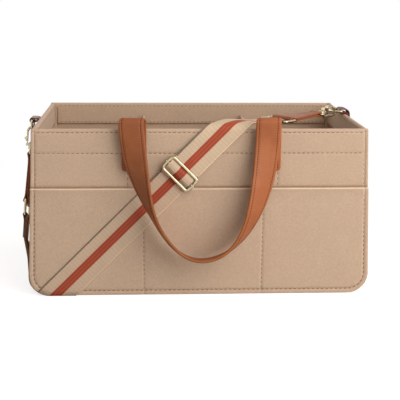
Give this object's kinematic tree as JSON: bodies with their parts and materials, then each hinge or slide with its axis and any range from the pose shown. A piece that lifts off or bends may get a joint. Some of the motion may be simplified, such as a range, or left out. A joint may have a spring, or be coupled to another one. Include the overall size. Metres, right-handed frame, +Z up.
{
  "type": "diaper caddy",
  "caption": "Open felt caddy with sewn pockets, sliding dividers, leather handles that fold over the rim and a webbing shoulder strap on snap hooks.",
  "frame": {"origin": "middle of the footprint, on the floor", "axes": "+X to the right along the long side, -Y out of the front face that carries the crossing strap, +Z up"},
  "size_m": [0.4078, 0.3106, 0.2077],
  "materials": {
    "felt": "pressed wool felt, finely mottled",
    "board": "felt-covered board",
    "hook_tape": "woven hook tape",
    "leather": "smooth, satin",
    "leather_dark": "smooth, satin",
    "webbing": "ribbed webbing with a woven central stripe",
    "gold": "light gold, polished"
  },
  "bodies": {
    "caddy": {"front_panel": "felt", "back_panel": "felt", "front_pocket": "felt", "back_pocket": "felt", "side_and_base_gusset": "felt", "base_insert": "board", "front_handle_tab_left": "leather", "front_handle_fold_left": "leather", "back_handle_tab_left": "leather", "back_handle_fold_left": "leather", "left_ring_tab": "leather_dark", "left_leather_connector": "leather", "left_swivel_eye": "gold", "left_strap_ring": "gold", "front_handle_tab_right": "leather", "front_handle_fold_right": "leather", "back_handle_tab_right": "leather", "back_handle_fold_right": "leather", "right_ring_tab": "leather_dark", "right_leather_connector": "leather", "right_swivel_eye": "gold", "right_strap_ring": "gold", "shoulder_webbing": "webbing", "webbing_return": "webbing"},
    "front_handle": {"front_handle_loop": "leather"},
    "back_handle": {"back_handle_loop": "leather"},
    "divider_left": {"divider_left": "felt", "divider_left_front_tape": "hook_tape", "divider_left_back_tape": "hook_tape"},
    "divider_right": {"divider_right": "felt", "divider_right_front_tape": "hook_tape", "divider_right_back_tape": "hook_tape"},
    "left_ring": {"left_d_ring": "gold"},
    "right_ring": {"right_d_ring": "gold"},
    "left_snap_hook": {"left_hook": "gold"},
    "right_snap_hook": {"right_hook": "gold"},
    "left_trigger": {"left_hook_trigger": "gold"},
    "right_trigger": {"right_hook_trigger": "gold"},
    "slider": {"strap_slider": "gold", "slider_webbing_hump": "webbing"}
  },
  "joints": [
    {"name": "front_handle_swing", "type": "hinge", "parent": "caddy", "child": "front_handle", "pos_m": [0.00693, -0.1216, 0.2014], "axis": [-1, 0, 0], "range_deg": [0, 170], "deforming": ["front_handle_fold_left", "front_handle_fold_right"]},
    {"name": "back_handle_swing", "type": "hinge", "parent": "caddy", "child": "back_handle", "pos_m": [0.00693, 0.1216, 0.186], "axis": [1, 0, 0], "range_deg": [0, 170], "deforming": ["back_handle_fold_left", "back_handle_fold_right"]},
    {"name": "divider_left_slide", "type": "slide", "parent": "caddy", "child": "divider_left", "axis": [1, 0, 0], "range_m": [-0.035, 0.035]},
    {"name": "divider_right_slide", "type": "slide", "parent": "caddy", "child": "divider_right", "axis": [1, 0, 0], "range_m": [-0.035, 0.035]},
    {"name": "left_d_ring_swing", "type": "hinge", "parent": "caddy", "child": "left_ring", "pos_m": [-0.19406, 0, 0.188], "axis": [0, 1, 0], "range_deg": [-3, 3]},
    {"name": "left_hook_swivel", "type": "hinge", "parent": "caddy", "child": "left_snap_hook", "pos_m": [-0.19571, -0.01482, 0.15326], "axis": [0.0435, 0.392, 0.9189], "range_deg": [-8, 8]},
    {"name": "left_hook_trigger_press", "type": "hinge", "parent": "left_snap_hook", "child": "left_trigger", "pos_m": [-0.20045, -0.01061, 0.16312], "axis": [0, 0.9198, -0.3923], "range_deg": [0, 25], "stiffness_Nm_per_rad": 0.05, "springref_deg": -11.46},
    {"name": "right_d_ring_swing", "type": "hinge", "parent": "caddy", "child": "right_ring", "pos_m": [0.18943, 0.013, 0.1977], "axis": [0, 1, 0], "range_deg": [-3, 3]},
    {"name": "right_hook_swivel", "type": "hinge", "parent": "caddy", "child": "right_snap_hook", "pos_m": [0.1599, -0.01059, 0.19717], "axis": [0.7813, 0.624, 0.014], "range_deg": [-8, 8]},
    {"name": "right_hook_trigger_press", "type": "hinge", "parent": "right_snap_hook", "child": "right_trigger", "pos_m": [0.16805, -0.00408, 0.20252], "axis": [-0.6241, 0.7814, 0], "range_deg": [0, 25], "stiffness_Nm_per_rad": 0.05, "springref_deg": -11.46},
    {"name": "slider_slide", "type": "slide", "parent": "caddy", "child": "slider", "axis": [0.7066, 0.0362, 0.7066], "range_m": [-0.008, 0.04]}
  ]
}
